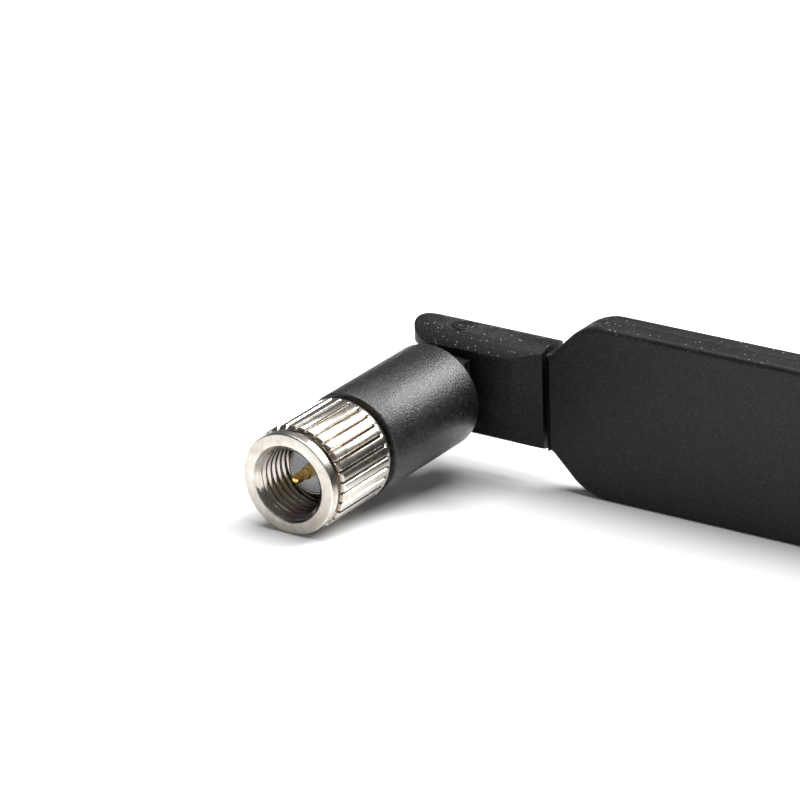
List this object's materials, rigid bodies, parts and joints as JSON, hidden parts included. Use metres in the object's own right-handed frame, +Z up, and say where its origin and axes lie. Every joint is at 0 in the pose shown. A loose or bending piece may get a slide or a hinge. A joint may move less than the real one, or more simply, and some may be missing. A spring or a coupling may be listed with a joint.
{
  "type": "hinged wifi antenna",
  "caption": "Black flat-blade wifi antenna on a tilting, swivelling hinge with a knurled coaxial screw plug, resting folded at a right angle.",
  "frame": {"origin": "middle of the part's bounding box, on the ground plane it rests on", "axes": "+X along the blade from hinge to tip, +Z up, the plug points to -Y and 7.78 degrees down"},
  "size_m": [0.0898, 0.0324, 0.0162],
  "materials": {
    "nickel_nut": "satin nickel plate, bright on the knurl crests",
    "nickel_body": "satin nickel plate over brass",
    "gold_plate": "gold plate, satin",
    "brass_part": "plain turned brass",
    "ptfe": "waxy white fluoropolymer",
    "sleeve_plastic": "satin black with a fine spark texture",
    "arm_plastic": "matte black with a coarser texture",
    "pin_plastic": "smooth matte black",
    "blade_plastic": "matte black, fine even texture",
    "cable_jacket": "smooth black fluoropolymer",
    "tinned_braid": "tinned copper braid",
    "copper": null,
    "solder": "bright solder",
    "board_laminate": "green glass-epoxy laminate"
  },
  "bodies": {
    "plug": {"plug_body": "nickel_body", "plug_insulator": "ptfe", "center_pin": "gold_plate", "crimp_ferrule": "brass_part", "cable_jacket_lower": "cable_jacket", "cable_braid_lower": "tinned_braid", "cable_dielectric_lower": "ptfe", "cable_core_lower": "copper"},
    "coupling_nut_body": {"coupling_nut": "nickel_nut", "nut_retaining_ring": "brass_part"},
    "sleeve": {"swivel_sleeve": "sleeve_plastic", "sleeve_bushing": "brass_part", "cable_hinge_bend": "cable_jacket"},
    "blade": {"hinge_arm": "arm_plastic", "hinge_pins": "pin_plastic", "blade_front_shell": "blade_plastic", "blade_rear_shell": "blade_plastic", "antenna_board": "board_laminate", "radiator_trace": "copper", "ground_trace": "copper", "cable_jacket_upper": "cable_jacket", "cable_braid_upper": "tinned_braid", "cable_dielectric_upper": "ptfe", "cable_core_upper": "copper", "core_solder_joint": "solder", "shield_solder_joint": "solder"}
  },
  "joints": [
    {"name": "nut_spin", "type": "hinge", "parent": "plug", "child": "coupling_nut_body", "pos_m": [-0.04013, -0.01054, 0.00514], "axis": [0, -0.9908, -0.1354], "continuous": true},
    {"name": "sleeve_swivel", "type": "hinge", "parent": "plug", "child": "sleeve", "pos_m": [-0.04013, -0.00063, 0.00649], "axis": [0, -0.9908, -0.1354], "range_deg": [-180, 180]},
    {"name": "hinge_tilt", "type": "hinge", "parent": "sleeve", "child": "blade", "pos_m": [-0.04013, 0.01126, 0.00811], "axis": [0, -0.1354, 0.9908], "range_deg": [0, 90], "deforming": ["cable_hinge_bend"]}
  ]
}
